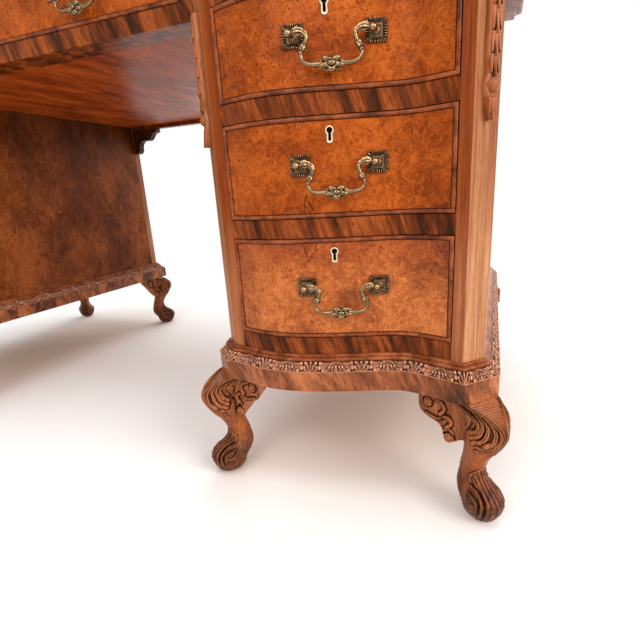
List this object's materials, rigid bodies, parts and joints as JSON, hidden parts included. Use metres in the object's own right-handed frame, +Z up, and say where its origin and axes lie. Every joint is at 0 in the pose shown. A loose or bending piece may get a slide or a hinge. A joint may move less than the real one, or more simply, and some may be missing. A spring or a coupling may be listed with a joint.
{
  "type": "kneehole desk",
  "caption": "Writing desk with a drawer pedestal on each side of a knee space, serpentine fronts, swan-neck drop handles, carved cabriole legs and a leather-lined top.",
  "frame": {"origin": "on the floor under the middle of the top", "axes": "+X to the right of a person who faces the drawer fronts, +Y from the fronts to the back, +Z up"},
  "size_m": [1.483, 0.764, 0.7785],
  "materials": {
    "burr_walnut": "polished burr veneer",
    "walnut": "polished",
    "drawer_oak": "plain",
    "brass": "aged",
    "leather": "worn"
  },
  "bodies": {
    "carcass": {"back_panels": "drawer_oak", "corner_drops": "walnut", "corner_posts": "walnut", "desktop": "walnut", "drawer_runners": "drawer_oak", "kneehole_brackets": "walnut", "kneehole_rails": "walnut", "kneehole_underboard": "drawer_oak", "leather_inset": "leather", "left_carved_moulding": "walnut", "left_drawer_rails": "walnut", "left_inner_side": "burr_walnut", "left_legs": "walnut", "left_outer_side": "burr_walnut", "left_plinth": "walnut", "pedestal_floors": "drawer_oak", "right_carved_moulding": "walnut", "right_drawer_rails": "walnut", "right_inner_side": "burr_walnut", "right_legs": "walnut", "right_outer_side": "burr_walnut", "right_plinth": "walnut"},
    "right_lower_drawer": {"right_lower_drawer_front": "burr_walnut", "right_lower_drawer_box": "drawer_oak", "right_lower_drawer_hardware": "brass"},
    "right_lower_drawer_bail": {"right_lower_drawer_bail": "brass"},
    "right_middle_drawer": {"right_middle_drawer_front": "burr_walnut", "right_middle_drawer_box": "drawer_oak", "right_middle_drawer_hardware": "brass"},
    "right_middle_drawer_bail": {"right_middle_drawer_bail": "brass"},
    "right_upper_drawer": {"right_upper_drawer_front": "burr_walnut", "right_upper_drawer_box": "drawer_oak", "right_upper_drawer_hardware": "brass"},
    "right_upper_drawer_bail": {"right_upper_drawer_bail": "brass"},
    "right_top_drawer": {"right_top_drawer_front": "burr_walnut", "right_top_drawer_box": "drawer_oak", "right_top_drawer_hardware": "brass"},
    "right_top_drawer_bail": {"right_top_drawer_bail": "brass"},
    "left_lower_drawer": {"left_lower_drawer_front": "burr_walnut", "left_lower_drawer_box": "drawer_oak", "left_lower_drawer_hardware": "brass"},
    "left_lower_drawer_bail": {"left_lower_drawer_bail": "brass"},
    "left_middle_drawer": {"left_middle_drawer_front": "burr_walnut", "left_middle_drawer_box": "drawer_oak", "left_middle_drawer_hardware": "brass"},
    "left_middle_drawer_bail": {"left_middle_drawer_bail": "brass"},
    "left_upper_drawer": {"left_upper_drawer_front": "burr_walnut", "left_upper_drawer_box": "drawer_oak", "left_upper_drawer_hardware": "brass"},
    "left_upper_drawer_bail": {"left_upper_drawer_bail": "brass"},
    "left_top_drawer": {"left_top_drawer_front": "burr_walnut", "left_top_drawer_box": "drawer_oak", "left_top_drawer_hardware": "brass"},
    "left_top_drawer_bail": {"left_top_drawer_bail": "brass"},
    "centre_drawer": {"centre_drawer_front": "burr_walnut", "centre_drawer_box": "drawer_oak", "centre_drawer_hardware": "brass"},
    "centre_drawer_left_bail": {"centre_drawer_left_bail": "brass"},
    "centre_drawer_right_bail": {"centre_drawer_right_bail": "brass"}
  },
  "joints": [
    {"name": "right_lower_drawer_slide", "type": "slide", "parent": "carcass", "child": "right_lower_drawer", "axis": [0, -1, 0], "range_m": [0, 0.42]},
    {"name": "right_lower_drawer_bail_swing", "type": "hinge", "parent": "right_lower_drawer", "child": "right_lower_drawer_bail", "pos_m": [0.53224, -0.33938, 0.2965], "axis": [-0.9557, -0.2945, 0], "range_deg": [0, 110]},
    {"name": "right_middle_drawer_slide", "type": "slide", "parent": "carcass", "child": "right_middle_drawer", "axis": [0, -1, 0], "range_m": [0, 0.42]},
    {"name": "right_middle_drawer_bail_swing", "type": "hinge", "parent": "right_middle_drawer", "child": "right_middle_drawer_bail", "pos_m": [0.53224, -0.33938, 0.4415], "axis": [-0.9557, -0.2945, 0], "range_deg": [0, 110]},
    {"name": "right_upper_drawer_slide", "type": "slide", "parent": "carcass", "child": "right_upper_drawer", "axis": [0, -1, 0], "range_m": [0, 0.42]},
    {"name": "right_upper_drawer_bail_swing", "type": "hinge", "parent": "right_upper_drawer", "child": "right_upper_drawer_bail", "pos_m": [0.53224, -0.33938, 0.5745], "axis": [-0.9557, -0.2945, 0], "range_deg": [0, 110]},
    {"name": "right_top_drawer_slide", "type": "slide", "parent": "carcass", "child": "right_top_drawer", "axis": [0, -1, 0], "range_m": [0, 0.42]},
    {"name": "right_top_drawer_bail_swing", "type": "hinge", "parent": "right_top_drawer", "child": "right_top_drawer_bail", "pos_m": [0.53224, -0.33938, 0.695], "axis": [-0.9557, -0.2945, 0], "range_deg": [0, 110]},
    {"name": "left_lower_drawer_slide", "type": "slide", "parent": "carcass", "child": "left_lower_drawer", "axis": [0, -1, 0], "range_m": [0, 0.42]},
    {"name": "left_lower_drawer_bail_swing", "type": "hinge", "parent": "left_lower_drawer", "child": "left_lower_drawer_bail", "pos_m": [-0.53224, -0.33938, 0.2965], "axis": [-0.9557, 0.2945, 0], "range_deg": [0, 110]},
    {"name": "left_middle_drawer_slide", "type": "slide", "parent": "carcass", "child": "left_middle_drawer", "axis": [0, -1, 0], "range_m": [0, 0.42]},
    {"name": "left_middle_drawer_bail_swing", "type": "hinge", "parent": "left_middle_drawer", "child": "left_middle_drawer_bail", "pos_m": [-0.53224, -0.33938, 0.4415], "axis": [-0.9557, 0.2945, 0], "range_deg": [0, 110]},
    {"name": "left_upper_drawer_slide", "type": "slide", "parent": "carcass", "child": "left_upper_drawer", "axis": [0, -1, 0], "range_m": [0, 0.42]},
    {"name": "left_upper_drawer_bail_swing", "type": "hinge", "parent": "left_upper_drawer", "child": "left_upper_drawer_bail", "pos_m": [-0.53224, -0.33938, 0.5745], "axis": [-0.9557, 0.2945, 0], "range_deg": [0, 110]},
    {"name": "left_top_drawer_slide", "type": "slide", "parent": "carcass", "child": "left_top_drawer", "axis": [0, -1, 0], "range_m": [0, 0.42]},
    {"name": "left_top_drawer_bail_swing", "type": "hinge", "parent": "left_top_drawer", "child": "left_top_drawer_bail", "pos_m": [-0.53224, -0.33938, 0.695], "axis": [-0.9557, 0.2945, 0], "range_deg": [0, 110]},
    {"name": "centre_drawer_slide", "type": "slide", "parent": "carcass", "child": "centre_drawer", "axis": [0, -1, 0], "range_m": [0, 0.42]},
    {"name": "centre_drawer_left_bail_swing", "type": "hinge", "parent": "centre_drawer", "child": "centre_drawer_left_bail", "pos_m": [-0.165, -0.3138, 0.695], "axis": [-1, 0, 0], "range_deg": [0, 110]},
    {"name": "centre_drawer_right_bail_swing", "type": "hinge", "parent": "centre_drawer", "child": "centre_drawer_right_bail", "pos_m": [0.165, -0.3138, 0.695], "axis": [-1, 0, 0], "range_deg": [0, 110]}
  ]
}
